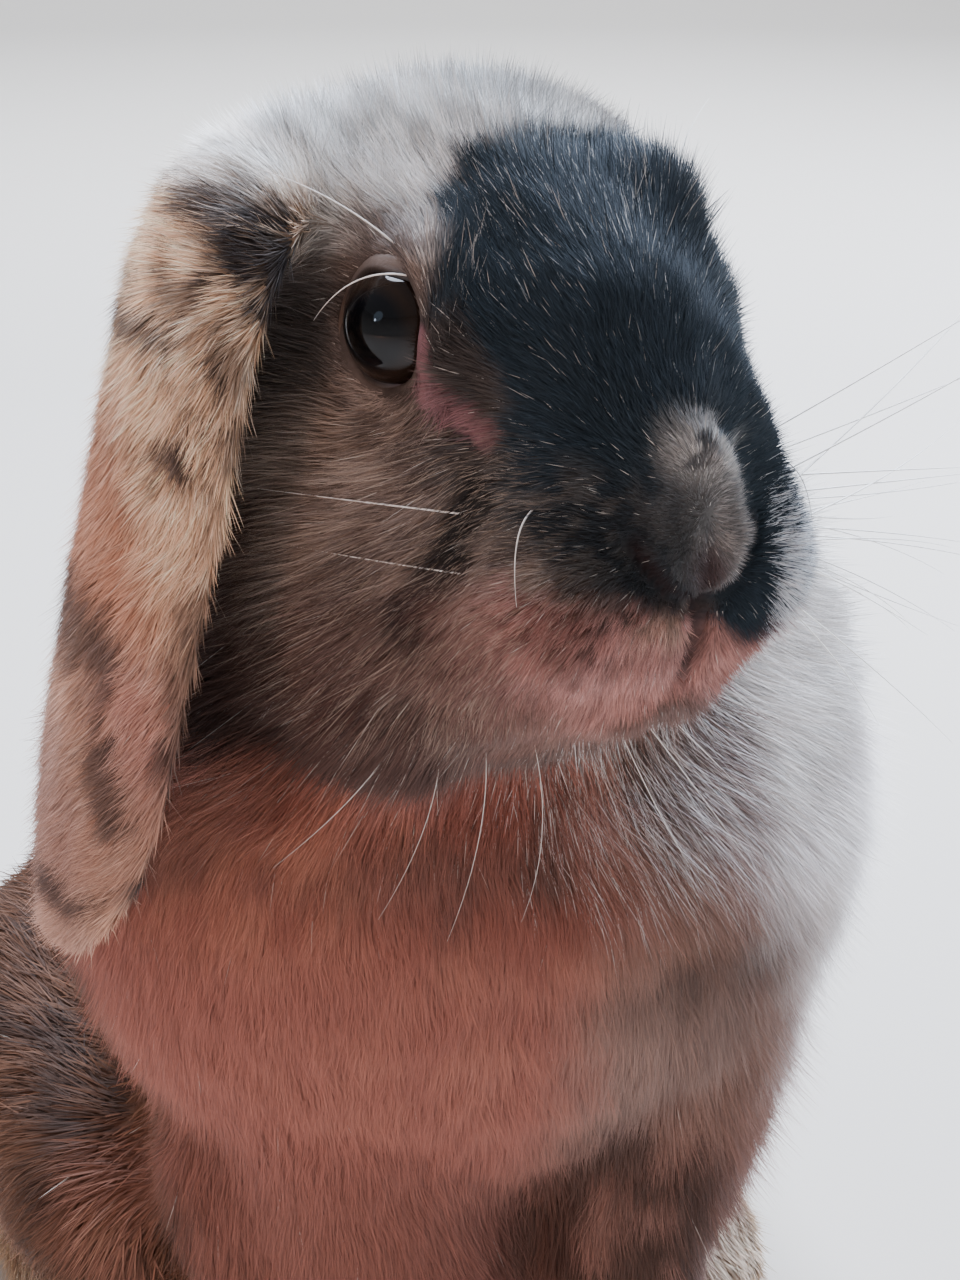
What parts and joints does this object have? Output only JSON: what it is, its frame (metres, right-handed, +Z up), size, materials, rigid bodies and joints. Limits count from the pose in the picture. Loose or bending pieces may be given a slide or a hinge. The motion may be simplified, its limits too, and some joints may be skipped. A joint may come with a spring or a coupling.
{
  "type": "sitting lop rabbit",
  "caption": "Life-size lop rabbit sitting upright on straight forelegs, head turned a little, ears hanging; a still display model.",
  "frame": {"origin": "on the floor below the middle of the bounding box", "axes": "+Z up, the chest faces -Y, the animal's left is +X"},
  "size_m": [0.1458, 0.2342, 0.2301],
  "materials": {
    "coat_face": "frosted grey-brown fur",
    "coat_mask": "blue-black fur",
    "coat_ear": "cream-fawn fur with dark spots",
    "coat_chest": "warm beige fur",
    "coat_body": "brindled brown fur",
    "coat_foot": "short pale fur",
    "eye": "wet dark brown eye"
  },
  "bodies": {
    "root": {"head": "coat_face", "muzzle": "coat_mask", "neck": "coat_body", "chest": "coat_chest", "loin": "coat_body", "rump": "coat_body", "tail": "coat_body", "foreleg_left": "coat_body", "foreleg_right": "coat_chest", "forepaw_left": "coat_foot", "forepaw_right": "coat_foot", "thigh_left": "coat_body", "thigh_right": "coat_body", "hindfoot_left": "coat_foot", "hindfoot_right": "coat_foot", "ear_left": "coat_ear", "ear_right": "coat_ear", "eye_left": "eye", "eye_right": "eye"}
  },
  "joints": []
}
